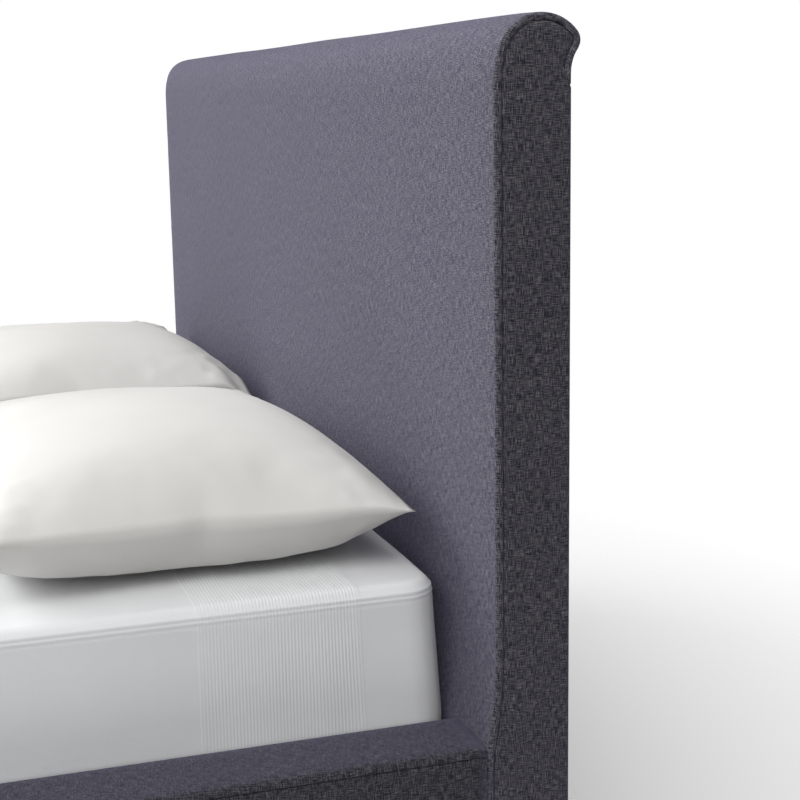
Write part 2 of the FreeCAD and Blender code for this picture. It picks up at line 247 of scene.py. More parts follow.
def timber(name, along, pale, dark, ringSize=0.011, gloss=0.55, ply=False, coat=0.0):
    # along is the axis that the grain follows
    g = woodGrain
    f = Finish(name, Specular_IOR_Level=0.35, Coat_Weight=coat, Coat_Roughness=0.35)
    place = f.place()
    grainSize = [ringSize * 0.5] * 3
    grainSize[along] = g["length"]
    ringScale = [ringSize * 2.4] * 3
    ringScale[along] = g["ringLength"]
    poreSize = [g["poreWidth"]] * 3
    poreSize[along] = g["poreLength"]
    rings = f.cloud(f.stretched(place, ringScale), 2.0, 0.5, 0.6)
    bands = f.maths("SINE", rings * g["rings"])
    grain = f.cloud(f.stretched(place, grainSize), 4.0, 0.6, 0.2)
    pores = f.cloud(f.stretched(place, poreSize), 2.0, 0.6)
    tone = f.ramp((bands * 0.5 + 0.5) * 0.45 + grain * 0.35 + pores * 0.2, [(0.22, 0), (0.8, 1)])
    colour = f.blend(tone, pale, dark)
    if ply:  # the layers show on the cut edges
        normal = f.make("TexCoord", output="Normal")
        edge = f.ramp(f.maths("ABSOLUTE", f.axis(normal, "Z")), [(0.6, 0), (0.8, 1)])
        layers = f.maths("SINE", f.axis(place, "X") * (math.tau / g["plyPitch"]))
        stripe = f.ramp(layers + grain * 0.6, [(0.2, 0), (0.5, 1)])
        colour = f.blend(edge * stripe * 0.75, colour, tuple(d * 0.55 for d in dark))
    rough = gloss + tone * 0.15
    return f.finishWith(colour, rough, [(pores, 0.35, 0.0004), (tone, 0.2, 0.0005)])


def coatedMetal(name, colour, rough, metallic, speck):
    f = Finish(name, Metallic=metallic, Specular_IOR_Level=0.5)
    place = f.place()
    peel = f.cloud(f.stretched(place, (0.0016, 0.0016, 0.0016)), 2.0, 0.5)
    wear = f.ramp(f.cloud(f.stretched(place, (0.02, 0.02, 0.05)), 4.0, 0.65), [(0.45, 0), (0.7, 1)])
    shade = f.blend(wear * speck, colour, tuple(min(1, c * 1.8 + 0.02) for c in colour))
    return f.finishWith(shade, rough + wear * 0.18, [(peel, 0.3, 0.0002)])


def moulded(name, colour):
    f = Finish(name, Specular_IOR_Level=0.4)
    place = f.place()
    grain = f.cloud(f.stretched(place, (0.0007, 0.0007, 0.0007)), 2.0, 0.5)
    scuff = f.ramp(f.cloud(f.stretched(place, (0.012, 0.012, 0.004)), 4.0, 0.7), [(0.5, 0), (0.75, 1)])
    shade = f.blend(scuff * 0.5, colour, tuple(c * 3 + 0.02 for c in colour))
    return f.finishWith(shade, 0.45 + scuff * 0.3, [(grain, 0.4, 0.0002)])


def feltLining(name):
    f = Finish(name, Sheen_Weight=0.15, Specular_IOR_Level=0.15)
    place = f.place()
    fibre = f.cloud(f.stretched(place, (0.0006, 0.004, 0.0009)), 3.0, 0.7, 1.5)
    dimple = f.cells(place, 0.0035)
    soft = f.cloud(f.stretched(place, (0.3, 0.3, 0.25)), 2.0)
    colour = f.blend(fibre * 0.6 + soft * 0.3, (0.006, 0.006, 0.007), (0.030, 0.030, 0.033))
    return f.finishWith(colour, 0.85 + fibre * 0.1, [(dimple, 0.35, 0.0004), (fibre, 0.3, 0.0003)])


def openFoam(name):
    f = Finish(name, Specular_IOR_Level=0.1)
    place = f.place()
    cells = f.cells(place, 0.0022)
    age = f.cloud(f.stretched(place, (0.12, 0.12, 0.12)), 3.0)
    colour = f.blend(cells * 0.6 + age * 0.4, (0.55, 0.50, 0.36), (0.78, 0.74, 0.60))
    return f.finishWith(colour, 0.9 + age * 0.05, [(cells, 0.7, 0.0008)])


finishes = {
    "grey_cloth": heather("heatherLinen", 1.0, 0.86),
    "black_lining": feltLining("dustCloth"),
    "foam": openFoam("seatFoam"),
    "white_cotton": cotton("sheetCotton", (0.765, 0.77, 0.78), (0.70, 0.705, 0.715)),
    "pillow_cotton": cotton("pillowCotton", (0.68, 0.672, 0.652), (0.635, 0.625, 0.60)),
    "ticking": tickingCloth("tickingStripe"),
    "black_steel": coatedMetal("blackPowderCoat", (0.016, 0.016, 0.017), 0.42, 0.0, 0.35),
    "zinc": coatedMetal("zincPlate", (0.52, 0.53, 0.55), 0.32, 1.0, 0.3),
    "black_plastic": moulded("blackNylon", (0.012, 0.012, 0.013)),
    "dark_wood": timber("stainedFoot", 2, (0.030, 0.018, 0.012), (0.011, 0.007, 0.005),
                        ringSize=0.008, gloss=0.34, coat=0.25),
}
litFaceCloth = heather("heatherLinenPaintedLight", 1.14, 1.4)    # the same cloth, painted lighter and with bolder threads: a lit copy whose painted highlight stands in for the light the front face catches
# painted shade: a darker copy of the same cloth for the rails, standing in for the dimmer light low down
# near the floor
shadedRailCloth = heather("heatherLinenPaintedShade", 0.74, 0.86)
pineColours = ((0.66, 0.47, 0.27), (0.42, 0.25, 0.115))
plyColours = ((0.58, 0.43, 0.25), (0.38, 0.25, 0.13))
pineAlong = [timber("pineAlong" + "XYZ"[k], k, *pineColours) for k in range(3)]
slatPine = timber("slatPine", 0, (0.70, 0.53, 0.33), (0.50, 0.33, 0.17), 0.014)
railPly = timber("railPly", 1, *plyColours, ply=True)
boardPly = timber("boardPly", 2, *plyColours, ply=True)
print("finishes made")


def soften(point, size, seed):  # smooth noise about zero, one bump per size
    return noise.noise(Vector((point[0] / size + seed, point[1] / size - seed, point[2] / size + 7 * seed)))


def smooth(x):  # from 0 to 1, easing in and out
    x = min(1.0, max(0.0, x))
    return x * x * (3 - 2 * x)


def addPiece(name, bm, body, slotName, standsFor=(), finish=None):
    mesh = bpy.data.meshes.new(name)
    bm.to_mesh(mesh)
    bm.free()
    piece = bpy.data.objects.new(name, mesh)
    scene.collection.objects.link(piece)
    mesh.materials.append(finish or finishes[slotName])
    mesh.shade_smooth()
    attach(piece, body)
    if standsFor:
        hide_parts(*standsFor)
    return piece


def thicken(piece, thickness):  # inwards, away from the outer face
    solid = piece.modifiers.new("thickness", "SOLIDIFY")
    solid.thickness, solid.offset = thickness, -1


def trace(start, heading, moves, inset=0.0):
    # a section drawn by runs and bends, which can be drawn again further in; a positive bend turns right
    angle = math.radians(heading)
    here = Vector(start) - Vector((-math.sin(angle), math.cos(angle))) * inset
    length = 0.0
    found = [(here.copy(), Vector((-math.sin(angle), math.cos(angle))), length)]
    for kind, size, *rest in moves:
        if kind == "run":
            steps, turn, centre = rest[0], 0.0, None
        else:
            turn, steps = math.radians(rest[0]), rest[1]
            side = 1 if turn > 0 else -1
            radius = size - side * inset
            centre = here + Vector((math.sin(angle), -math.cos(angle))) * radius * side
        for _ in range(steps):
            if kind == "run":
                here = here + Vector((math.cos(angle), math.sin(angle))) * size / steps
                length += size / steps
            else:
                angle -= turn / steps
                here = centre - Vector((math.sin(angle), -math.cos(angle))) * radius * side
                length += size * abs(turn) / steps
            found.append((here.copy(), Vector((-math.sin(angle), math.cos(angle))), length))
    return found


def wrapGrid(columns, rows, place, texture=None):  # a grid, with each point placed by its column and row
    bm = bmesh.new()
    bmesh.ops.create_grid(bm, x_segments=columns - 1, y_segments=rows - 1, size=0.5)
    spots = {}
    for v in bm.verts:
        spots[v] = (round((v.co.x + 0.5) * (columns - 1)), round((v.co.y + 0.5) * (rows - 1)))
    if texture:
        layer = bm.loops.layers.uv.new("cloth")
        for face in bm.faces:
            for loop in face.loops:
                loop[layer].uv = texture(*spots[loop.vert])
    for v, spot in spots.items():
        v.co = place(*spot)
    bmesh.ops.remove_doubles(bm, verts=bm.verts, dist=0.00005)
    return bm


# the headboard and the footboard share one section
board = {
    "seamInset": 0.007, "shoulderDrop": 0.067, "shoulderRadius": 0.120, "shoulderTurn": 17,
    "crownPast": 50, "lipRadius": 0.014, "lipTurn": 35, "flareRadius": 0.560, "flareHeight": 0.100,
    "flareEnd": 0.120, "hem": 0.018, "foldRadius": 0.004, "edgeRadius": 0.0040, "cloth": 0.0013,
    "grooveDepth": 0.0045, "step": 0.012, "columns": 46, "hemRows": 7,
    "puff": 0.0009, "puffEdge": 0.05, "puffPatch": 0.21, "drawnIn": 0.03, "pucker": 0.0002,
    "sideSag": 0.0005, "sideAcross": 9,
}


def boardMoves(top, coverOnly):  # the section of an end board, from the floor end up over the roll
    b = board
    flareTurn = math.degrees(math.asin(b["flareHeight"] / b["flareRadius"]))
    flareIn = b["flareRadius"] - math.sqrt(b["flareRadius"] ** 2 - b["flareHeight"] ** 2)
    frontY = boardFront + flareIn + b["flareEnd"] * (1 - math.cos(math.radians(flareTurn)))
    kneeZ = railTop - b["flareEnd"] * math.sin(math.radians(flareTurn))
    shoulder = top - b["shoulderDrop"]
    lean = math.radians(b["shoulderTurn"])
    turnZ = shoulder + b["shoulderRadius"] * math.sin(lean)
    turnY = frontY + b["shoulderRadius"] * (1 - math.cos(lean))
    crownRadius = (top - turnZ) / (1 - math.sin(lean))
    crownY = turnY + crownRadius * math.cos(lean)
    past = math.radians(b["crownPast"])
    drop = math.radians(b["lipTurn"])
    lipY = crownY + (crownRadius - b["lipRadius"]) * math.sin(past)
    lipZ = turnZ - crownRadius * math.sin(lean) + (crownRadius - b["lipRadius"]) * math.cos(past)
    outY = lipY + b["lipRadius"] * math.cos(drop)
    outZ = lipZ - b["lipRadius"] * math.sin(drop)
    tuckRadius = (outY - boardBack) / (1 - math.cos(drop))
    tuckZ = outZ - tuckRadius * math.sin(drop)
    step = b["step"]
    straight = shoulder - railTop - b["flareHeight"]
    face = [
        ("run", kneeZ - boardBottom - b["foldRadius"], round((kneeZ - boardBottom) / step)),
        ("bend", b["flareEnd"], flareTurn, 4),
        ("bend", b["flareRadius"], -flareTurn, 9),
        ("run", straight, max(4, round(straight / step))),
        ("bend", b["shoulderRadius"], b["shoulderTurn"], 6),
    ]
    crown = ("bend", crownRadius, 90 - b["shoulderTurn"] + b["crownPast"], 22)
    lip = ("bend", b["lipRadius"], 90 - b["crownPast"] + b["lipTurn"], 12)
    tuck = ("bend", tuckRadius, -b["lipTurn"], 6)
    if coverOnly:
        start = (boardFront + b["hem"], boardBottom)
        fold = [("run", b["hem"] - b["foldRadius"], 3), ("bend", b["foldRadius"], 90, 4)]
        return start, 180, fold + face + [crown, lip, tuck, ("run", 0.010, 2)], tuckZ
    back = sum(move[-1] for move in face) - lip[-1] - tuck[-1]
    start = (boardFront, boardBottom + b["foldRadius"])
    return start, 90, face + [crown, lip, tuck, ("run", tuckZ - boardBottom - b["foldRadius"], back)], tuckZ


def pucker(x, y, z, size):  # cloth drawn in at a seam
    return size * (soften((x, y, z), 0.016, 3.1) + 0.5 * soften((x, y, z), 0.007, 8.3))


def boardCover(name, node, top, mirrored):
    b = board
    start, heading, moves, _ = boardMoves(top, True)
    radius, seam = b["edgeRadius"], b["seamInset"]
    turns = [math.radians(15 * k) for k in range(7)]
    edge = [(radius * (1 - math.cos(t)), radius * (1 - math.sin(t))) for t in turns]
    edge += [(seam - 0.0006, 0.0003), (seam + 0.0001, 0.0012), (seam + 0.0004, b["grooveDepth"])]
    inner = b["columns"]
    span = halfWidth - radius
    stations = [(-halfWidth + back, inset) for inset, back in reversed(edge)]
    stations += [(span * (2 * k / inner - 1), 0.0) for k in range(1, inner)]
    stations += [(halfWidth - back, inset) for inset, back in edge]
    paths = {}
    for _, inset in stations:
        if inset not in paths:
            paths[inset] = trace(start, heading, moves, inset)

    def place(column, row):
        x, inset = stations[column]
        point, normal, length = paths[inset][row]
        edgeOff = halfWidth - abs(x)
        crown = b["puff"] * smooth(edgeOff / b["puffEdge"])
        lift = crown * (1 + 0.8 * soften((x, point.x, point.y), b["puffPatch"], 1.7))
        near = smooth(1 - edgeOff / b["drawnIn"])
        lift += near * pucker(x, point.x, point.y, b["pucker"])
        if row < b["hemRows"]:
            lift *= 0.3
        out = point + normal * lift
        return Vector((x, out.x, out.y))

    def texture(column, row):
        x, inset = stations[column]
        return (x + math.copysign(inset, x), paths[0.0][row][2])

    bm = wrapGrid(len(stations), len(paths[0.0]), place, texture)
    bm.normal_update()
    middle = Vector((0, boardFront, railTop + 0.1))
    front = min(bm.faces, key=lambda f: (f.calc_center_median() - middle).length)
    if front.normal.y > 0:
        bmesh.ops.reverse_faces(bm, faces=bm.faces)
    if mirrored:
        toFoot(bm)
    # the front cover takes the lit copy of the cloth, with its painted highlight
    thicken(addPiece(name, bm, "frame", "grey_cloth", [node], litFaceCloth), b["cloth"])


def toFoot(bm):  # mirrors a piece to the foot end
    bmesh.ops.scale(bm, vec=(1, -1, 1), verts=bm.verts)
    bmesh.ops.reverse_faces(bm, faces=bm.faces)


def boardSide(name, node, top, mirrored, side):
    b = board
    start, heading, moves, tuckZ = boardMoves(top, False)
    first = b["seamInset"] + 0.0012
    # each ring: how far in from the edge, and how deep under the side
    rings = [(first, b["grooveDepth"]), (first, 0.0018), (first + 0.0005, 0.0007), (first + 0.0014, 0.0),
             (first + 0.0028, -0.0003)]
    backEdge = [(0.0004, 0.0055), (0.0002, 0.0030), (0.0008, 0.0012), (0.0024, 0.0002), (0.0045, 0.0)]
    paths = [trace(start, heading, moves, inset) for inset, _ in rings]
    half = (len(paths[0]) - 1) // 2
    across = b["sideAcross"]
    hems = [(0.010, -b["foldRadius"]), (0.0035, -b["foldRadius"]), (0.0010, -0.0030)]    # depth, height
    columns = 2 * len(rings) + across - 1

    def onPath(ring, index):  # where a ring runs, and how deep it lies under the side
        y, z = paths[ring][index][0]
        back = rings[ring][1]
        if index > half and z < tuckZ + 0.004:  # below the roll the panel turns round the flat back
            toBack = smooth((tuckZ + 0.004 - z) / 0.012)
            y += (boardBack - backEdge[ring][0] - y) * toBack
            back += (backEdge[ring][1] - back) * toBack
        return Vector((y, z)), back

    def place(column, row):
        level = max(0, row - len(hems))
        lastRing = len(rings) - 1
        if column <= lastRing:
            flat, back = onPath(column, level)
        elif column >= columns - len(rings):
            ring = columns - 1 - column
            flat, back = onPath(ring, len(paths[0]) - 1 - level)
        else:
            t = (column - lastRing) / across
            a, _ = onPath(lastRing, level)
            z, _ = onPath(lastRing, len(paths[0]) - 1 - level)
            flat = a.lerp(z, t)
            back = rings[-1][1] - b["sideSag"] * math.sin(math.pi * t)
            back -= 0.00035 * soften((flat.x, flat.y, side), 0.05, 2.2)
        if row < len(hems):
            back += hems[row][0]
            flat = Vector((flat.x, flat.y + hems[row][1]))
        else:
            back -= pucker(side, flat.x, flat.y, b["pucker"]) * (back < 0.001)
        return Vector((side * (halfWidth - max(back, -0.0012)), flat.x, flat.y))

    def texture(column, row):
        spot = place(column, row)
        return (spot.y, spot.z)

    bm = wrapGrid(columns, half + 1 + len(hems), place, texture)
    bm.normal_update()
    if sum(f.normal.x * f.calc_area() for f in bm.faces) * side < 0:
        bmesh.ops.reverse_faces(bm, faces=bm.faces)
    if mirrored:
        toFoot(bm)
    thicken(addPiece(name, bm, "frame", "grey_cloth", [node]), b["cloth"])


lining = {
    "step": 0.022, "sag": 0.0009, "pull": 0.0004, "cloth": 0.0008,
    "stapleSpacing": 0.058, "stapleWidth": 0.011, "wire": 0.0006, "margin": 0.008,
}


def backLining(name, node, mirrored):
    a, z = low(node), high(node)
    width, height = z.x - a.x, z.z - a.z
    columns, rows = round(width / lining["step"]), round(height / lining["step"])
    outerY = max(abs(a.y), abs(z.y))

    def place(column, row):
        x, y = column / (columns - 1), row / (rows - 1)
        spot = Vector((a.x + width * x, 0, a.z + height * y))
        edge = min(column, columns - 1 - column, row, rows - 1 - row)
        inside = smooth(edge / 4)
        ripple = inside * lining["sag"] * (soften(spot, 0.09, 4.4) - 0.3)
        around = math.tau * (spot.x + spot.z) / lining["stapleSpacing"]
        pull = (1 - inside) * lining["pull"] * math.cos(around)
        spot.y = outerY + ripple + (pull if edge else -0.0006)
        return spot

    bm = wrapGrid(columns, rows, place)
    bm.normal_update()
    if sum(f.normal.y for f in bm.faces) < 0:
        bmesh.ops.reverse_faces(bm, faces=bm.faces)
    if mirrored:
        toFoot(bm)
    thicken(addPiece(name, bm, "frame", "black_lining", [node]), lining["cloth"])
    staples(name + "_staples", a, z, outerY, mirrored)


def staples(name, a, z, outerY, mirrored):
    bm = bmesh.new()
    s = lining
    inA, inZ = a + Vector((1, 0, 1)) * s["margin"], z - Vector((1, 0, 1)) * s["margin"]

    def staple(x, height, upright):
        made = bmesh.ops.create_cube(bm, size=1)["verts"]
        size = Vector((s["stapleWidth"], s["wire"], s["wire"]))
        if upright:
            size = size.zyx
        bmesh.ops.scale(bm, vec=size, verts=made)
        askew = 0.5 * soften((x, 0, height), 0.03, 6)
        bmesh.ops.rotate(bm, matrix=Matrix.Rotation(askew, 3, "Y"), verts=made)
        bmesh.ops.translate(bm, vec=(x, outerY + s["wire"] * 0.6, height), verts=made)

    nx = round((inZ.x - inA.x) / s["stapleSpacing"])
    nz = round((inZ.z - inA.z) / s["stapleSpacing"])
    for k in range(nx + 1):
        x = inA.x + (inZ.x - inA.x) * k / nx
        staple(x, inA.z, False)
        staple(x, inZ.z, False)
    for k in range(1, nz):
        height = inA.z + (inZ.z - inA.z) * k / nz
        staple(inA.x, height, True)
        staple(inZ.x, height, True)
    bmesh.ops.bevel(bm, geom=bm.edges[:], offset=s["wire"] * 0.25, segments=1, profile=0.5,
                    affect="EDGES", material=-1)
    if mirrored:
        toFoot(bm)
    addPiece(name, bm, "frame", "zinc")


foamDrawn = {"boardEdge": 0.0047, "railEdge": 0.0062, "railTop": 0.0022}


def foamCore(name, node, widest, highest):  # the foam, drawn in where the cloth pulls over its edges
    bm = bmesh.new()
    bm.from_mesh(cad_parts[node].data)
    bmesh.ops.remove_doubles(bm, verts=bm.verts, dist=0.00002)
    for v in bm.verts:
        if abs(v.co.x) > widest:
            v.co.x = math.copysign(widest, v.co.x)
        v.co.z = min(v.co.z, highest)
    addPiece(name, bm, "frame", "foam", [node])


for end, mirrored in (("headboard", False), ("footboard", True)):
    top = high(end + "_cover").z
    foamCore(end + "FoamCore", end + "_foam", halfWidth - foamDrawn["boardEdge"], top)
    boardCover(end + "CoverCloth", end + "_cover", top, mirrored)
    for sideName, side in (("left", -1), ("right", 1)):
        boardSide(end + "Side" + sideName.title(), end + "_side_panel_" + sideName, top, mirrored, side)
    backLining(end + "BackLining", end + "_back_lining", mirrored)
print("end boards covered")


# the two side rails
rail = {"seamDrop": 0.007, "turnedIn": 0.058, "innerFold": 0.005, "outerFold": 0.006, "step": 0.016,
        "under": 0.030, "crown": 0.0010, "cloth": 0.0013, "pucker": 0.0002, "sag": 0.0005,
        "seamLip": 0.0011, "seamFold": 0.0022, "lowerFold": 0.004}


def railCover(name, node, side, start, heading, moves, waver):
    section = trace(start, heading, moves)
    length = 2 * boardFront
    count = round(length / rail["step"])

    def place(column, row):
        y = length * (column / (count - 1) - 0.5)
        point, normal, _ = section[row]
        out = point + normal * waver(y, point)
        return Vector((side * out.x, y, out.y))

    def texture(column, row):
        return (length * (column / (count - 1) - 0.5), section[row][2])

    bm = wrapGrid(count, len(section), place, texture)
    bm.normal_update()
    middle = Vector(((railInner + halfWidth) / 2 * side, 0, railTop - 0.1))
    turned = 0
    for face in bm.faces:
        out = (face.calc_center_median() - middle) * Vector((1, 0, 1))
        turned += face.normal.dot(out) * face.calc_area()
    if turned < 0:
        bmesh.ops.reverse_faces(bm, faces=bm.faces)
    # the rails take the darker copy of the cloth, with its painted shade
    thicken(addPiece(name, bm, "frame", "grey_cloth", [node], shadedRailCloth), rail["cloth"])


def topWaver(y, point):  # how far the padded top stands off its section
    flat = smooth((point.x - railInner) / 0.02) * smooth((halfWidth - point.x) / 0.02)
    onTop = flat * (point.y > railTop - 0.001)
    seam = smooth(1 - (point.y - (railTop - rail["seamDrop"])) / 0.006) * (point.x > halfWidth - 0.01)
    padding = onTop * rail["crown"] * (1 + 0.9 * soften((point.x, y, 0), 0.17, 5.5))
    return padding + seam * pucker(0, y, 0, rail["pucker"])


def sideWaver(y, point):
    near = smooth(1 - (railTop - rail["seamDrop"] - point.y) / 0.03)
    lower = smooth((railTop - point.y) / 0.1)
    return near * pucker(1, y, 0, rail["pucker"]) + lower * rail["sag"] * soften((point.y, y, 0), 0.12, 2.5)


for sideName, side in (("left", -1), ("right", 1)):
    r = rail
    foamCore("railFoamCore" + sideName.title(), "foam_" + sideName,
             halfWidth - foamDrawn["railEdge"], railTop - foamDrawn["railTop"])
    topMoves = [
        ("run", r["turnedIn"] - r["innerFold"], 5),
        ("bend", r["innerFold"], 90, 5),
        ("run", halfWidth - railInner - r["innerFold"] - r["outerFold"], 10),
        ("bend", r["outerFold"], 90, 7),
        ("run", 0.0003, 1),
        ("bend", r["seamLip"], 80, 3),
        ("run", 0.0042, 1),
    ]
    railCover("railTopCloth" + sideName.title(), "top_cover_" + sideName, side,
              (railInner, railTop - r["turnedIn"]), 90, topMoves, topWaver)
    seamZ = railTop - r["seamDrop"] - r["seamLip"]
    sideMoves = [
        ("run", 0.0030, 1),
        ("bend", r["seamFold"], 90, 5),
        ("run", seamZ - boardBottom - r["seamFold"] - r["lowerFold"], 14),
        ("bend", r["lowerFold"], 90, 5),
        ("run", r["under"] - r["lowerFold"], 3),
    ]
    railCover("railSideCloth" + sideName.title(), "side_cover_" + sideName, side,
              (halfWidth - 0.0052, seamZ), 0, sideMoves, sideWaver)
print("rails covered")


# the mattress and its fitted sheet
bedding = {
    "cornerRadius": 0.036, "edgeRadius": 0.014, "beadRadius": 0.0045, "inset": 0.0042, "flare": 0.0092,
    "ribStart": 0.115, "ribEnd": 0.282, "ribPitch": 0.0034, "ribHeight": 0.0005,
    "tuckFirst": 0.012, "tuckPitch": 0.0055, "tuckHeight": 0.0008, "turnedIn": 0.075, "sheet": 0.0009,
    "ribsBeyond": 0.030, "clearOfSlats": 0.0009, "loose": 0.0028, "step": 0.045,
    "quiltPitch": 0.16, "quiltDepth": 0.0016, "beadFromBottom": 0.026, "beadFromTop": 0.027,
    "sideFold": 0.0030, "sideWave": 0.0008, "endFold": 0.0018, "topWave": 0.0016, "topCrease": 0.0007,
    "gather": 0.004,
}


def roundedBlock(a, z, corner, edge):
    bm = bmesh.new()
    bmesh.ops.create_cube(bm, size=1)
    bmesh.ops.scale(bm, vec=z - a, verts=bm.verts)
    bmesh.ops.translate(bm, vec=(a + z) / 2, verts=bm.verts)
    upright = [e for e in bm.edges if abs(e.verts[0].co.z - e.verts[1].co.z) > 0.01]
    bmesh.ops.bevel(bm, geom=upright, offset=corner, segments=8, profile=0.5, affect="EDGES", material=-1)
    level = []    # where the sides meet the top and the bottom
    for e in bm.edges:
        if abs(e.verts[0].co.z - e.verts[1].co.z) < 1e-5 and len(e.link_faces) == 2:
            slopes = [abs(f.normal.z) for f in e.link_faces]
            if min(slopes) < 0.5 < max(slopes):
                level.append(e)
    bmesh.ops.bevel(bm, geom=level, offset=edge, segments=8, profile=0.5, affect="EDGES", material=-1)
    return bm


def sliceAt(bm, axis, places):
    normal = Vector((axis == 0, axis == 1, axis == 2))
    for place in places:
        bmesh.ops.bisect_plane(bm, geom=bm.verts[:] + bm.edges[:] + bm.faces[:], dist=1e-6,
                               plane_co=normal * place, plane_no=normal)


def steps(first, last, size):
    count = max(1, round(abs(last - first) / size))
    return [first + (last - first) * k / count for k in range(1, count)]


def spreadEnds(bm):  # the ends stand out a little above the rails and lean back towards the top
    for v in bm.verts:
        share = min(1, max(0, (railTop + 0.135 - v.co.z) / 0.14))
        share *= smooth((v.co.z - sheetLow.z - 0.008) / 0.05)
        share *= smooth(abs(v.co.y) / sheetHigh.y * 6 - 5)
        v.co.y += math.copysign(bedding["flare"] * share, v.co.y)


def mattress():
    b = bedding
    a, z = low("mattress"), high("mattress")
    shrink = Vector((b["inset"], b["inset"], 0.0))
    under = Vector((0, 0, b["inset"] + 0.002))    # leaves room for the sheet on top
    bm = roundedBlock(a + shrink, z - shrink - under, b["cornerRadius"], b["edgeRadius"])
    sliceAt(bm, 0, steps(a.x, z.x, b["step"]))
    sliceAt(bm, 1, steps(a.y, z.y, b["step"]))
    beads = (a.z + b["beadFromBottom"], z.z - b["beadFromTop"])
    for height in beads:
        sliceAt(bm, 2, [height + b["beadRadius"] * k / 4 for k in range(-4, 5)])
    sliceAt(bm, 2, steps(beads[0] + 0.01, beads[1] - 0.01, 0.03))
    bm.normal_update()
    for v in bm.verts:
        level = abs(v.normal.z) < 0.7
        for height in beads:
            off = (v.co.z - height) / b["beadRadius"]
            if level and abs(off) <= 1:
                flat = Vector((v.normal.x, v.normal.y, 0)).normalized()
                v.co += flat * b["beadRadius"] * 0.85 * math.sqrt(1 - off * off)
        if v.normal.z < -0.9:  # quilting on the underside, pressed in along a diamond grid
            p = math.pi / b["quiltPitch"]
            line = min(abs(math.sin((v.co.x + v.co.y) * p)), abs(math.sin((v.co.x - v.co.y) * p)))
            v.co.z += b["quiltDepth"] * (1 - smooth(line / 0.5))
    spreadEnds(bm)
    addPiece("mattressTicking", bm, "mattress", "ticking", ["mattress"])


def sheetHeight(v):  # how far a point of the sheet stands off the mattress
    b = bedding
    x, y, z = v.co
    lift = 0.0
    fromHead = sheetHigh.y + b["ribsBeyond"] - y
    if b["ribStart"] < fromHead < b["ribEnd"]:
        rib = abs(math.sin(math.pi * (fromHead - b["ribStart"]) / b["ribPitch"]))
        fade = smooth((fromHead - b["ribStart"]) / 0.003) * smooth((b["ribEnd"] - fromHead) / 0.003)
        lift += b["ribHeight"] * (1 + 0.9 * (v.normal.z > 0.6)) * fade * (rib ** 0.7)
    down = sheetHigh.z - z
    for k in range(3):
        off = (down - b["tuckFirst"] - k * b["tuckPitch"]) / 0.0022
        if abs(off) < 1:
            lift += b["tuckHeight"] * (1 - off * off) * (1 - 0.35 * k)
    return lift


def sheetFolds(v):  # soft wrinkles of the cloth between the ribs and the corners
    b = bedding
    x, y, z = v.co
    side = smooth((abs(v.normal.x) - 0.5) / 0.3)
    end = smooth((abs(v.normal.y) - 0.5) / 0.3)
    top = smooth((v.normal.z - 0.6) / 0.3)
    down = (sheetHigh.z - z) / (sheetHigh.z - sheetLow.z)
    corner = smooth(1 - (sheetHigh.y - abs(y)) / 0.16)
    folds = side * down * (0.4 + 1.8 * corner) * b["sideFold"] * soften((y, z * 0.35, x), 0.035, 9.1)
    folds += side * b["sideWave"] * soften((y, z, x), 0.11, 1.3)
    folds += end * down * b["endFold"] * soften((x, z * 0.35, y), 0.06, 5.2)
    folds += top * b["topWave"] * soften((x, y * 1.6, 0), 0.16, 2.9)
    folds += top * b["topCrease"] * soften((x * 0.6 + y, y - x * 0.5, 0), 0.045, 6.9)
    return folds


def fittedSheet():
    b = bedding
    a, z = sheetLow, sheetHigh
    clear, loose = Vector((0, 0, b["clearOfSlats"])), Vector((0, 0, b["loose"]))
    bm = roundedBlock(a + clear, z - loose, b["cornerRadius"], b["edgeRadius"])
    sliceAt(bm, 0, steps(a.x, z.x, 0.034))
    headY = z.y + b["ribsBeyond"]
    sliceAt(bm, 1, steps(a.y, headY - b["ribEnd"], 0.022))
    ribStep = b["ribPitch"] / 4
    sliceAt(bm, 1, steps(headY - b["ribEnd"] - ribStep, headY - b["ribStart"] + ribStep, ribStep))
    sliceAt(bm, 1, steps(headY - b["ribStart"], z.y, 0.012))
    tuckTop = z.z - b["tuckFirst"] + 0.003
    sliceAt(bm, 2, steps(tuckTop, tuckTop - 0.017, 0.0015))
    sliceAt(bm, 2, steps(a.z, tuckTop - 0.019, 0.020))
    inner = Vector((z.x - b["turnedIn"], z.y - b["turnedIn"]))
    under = [f for f in bm.faces if f.normal.z < -0.9 and abs(f.calc_center_median().x) < inner.x
             and abs(f.calc_center_median().y) < inner.y]
    bmesh.ops.delete(bm, geom=under, context="FACES")
    bm.normal_update()
    lifts = {v: (sheetHeight(v) + sheetFolds(v), v.normal.copy()) for v in bm.verts if v.normal.z > -0.5}
    for v, (lift, normal) in lifts.items():
        v.co += normal * lift
    spreadEnds(bm)
    for v in bm.verts:  # the elastic draws the hem into small gathers
        if v.is_boundary:
            around = v.co.x + v.co.y
            v.co.x += b["gather"] * math.sin(around * 210) * (abs(v.co.y) < inner.y + 0.01)
            v.co.y += b["gather"] * math.sin(around * 190) * (abs(v.co.x) < inner.x + 0.01)
    piece = addPiece("fittedSheetCotton", bm, "mattress", "white_cotton", ["fitted_sheet"])
    thicken(piece, b["sheet"])
    depth = z.z - a.z + b["turnedIn"]
    flat = (2 * (z.x + depth), 2 * (z.y + depth))
    area = flat[0] * flat[1] - 4 * depth ** 2    # the four corners are cut out


mattress()
fittedSheet()
print("mattress and sheet made")


# the two pillows
pillow = {
    "cut": (0.735, 0.505), "cell": 0.0092, "pressure": 3.4, "frames": 26, "length": 0.690, "depth": 0.452,
    "seamHeight": 0.064, "crown": 0.079, "belly": 2.8, "seamLip": 0.0034, "smoothing": 8, "gather": 0.0015,
    "evenness": 0.7, "cornerReach": 0.010, "fullness": 2.4, "roundness": 0.62, "slump": 1.9,
    "uneven": 0.004,
}


